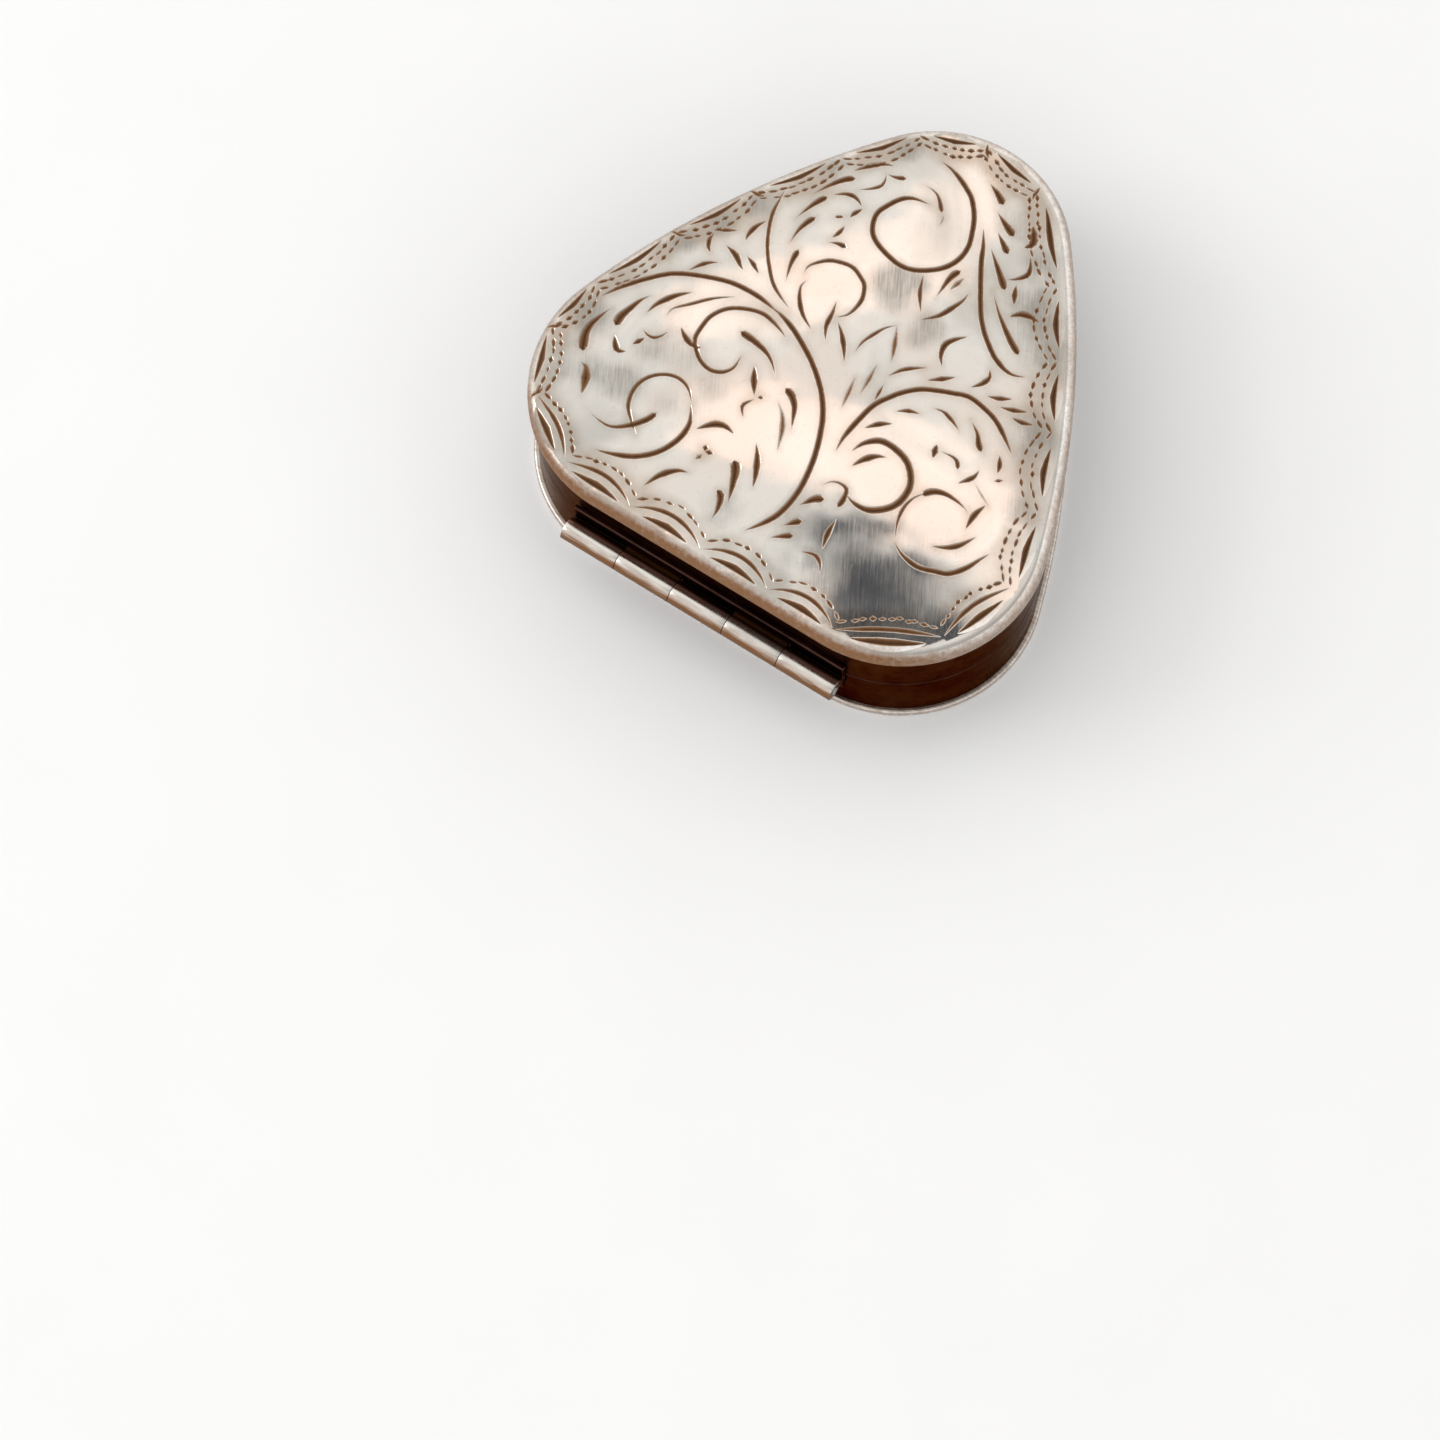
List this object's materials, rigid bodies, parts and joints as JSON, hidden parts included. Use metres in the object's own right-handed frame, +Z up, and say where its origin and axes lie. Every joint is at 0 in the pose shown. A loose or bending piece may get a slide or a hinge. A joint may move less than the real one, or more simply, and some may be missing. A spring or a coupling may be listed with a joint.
{
  "type": "pill box",
  "caption": "Small rounded-triangle metal pill box: domed engraved lid on a five-knuckle hinge, straight walls, inner bezel and flanged flat base.",
  "frame": {"origin": "centre of the overall footprint, hinge barrel included, on the underside of the base plate", "axes": "+Z up out of the lid, +Y from the hinge side to the rounded tip opposite it, +X along the hinge"},
  "size_m": [0.038, 0.039, 0.011],
  "materials": {
    "engraved_silver": "sterling silver, satin brushed and hand engraved, with dark oxidised cuts",
    "polished_silver": "sterling silver, polished with fine wear",
    "hinge_silver": "sterling silver tube, polished",
    "inner_silver": "sterling silver, satin",
    "pin_metal": "drawn nickel-silver wire"
  },
  "bodies": {
    "base": {"base_plate": "polished_silver", "base_wall": "polished_silver", "base_bezel": "inner_silver", "base_leaf": "polished_silver", "base_knuckle_1": "hinge_silver", "base_knuckle_2": "hinge_silver", "base_knuckle_3": "hinge_silver", "hinge_pin": "pin_metal"},
    "lid": {"lid_plate": "engraved_silver", "lid_wall": "polished_silver", "lid_leaf": "polished_silver", "lid_knuckle_1": "hinge_silver", "lid_knuckle_2": "hinge_silver"}
  },
  "joints": [
    {"name": "lid_hinge", "type": "hinge", "parent": "base", "child": "lid", "pos_m": [0, -0.0187, 0.0049], "axis": [1, 0, 0], "range_deg": [0, 160]}
  ]
}
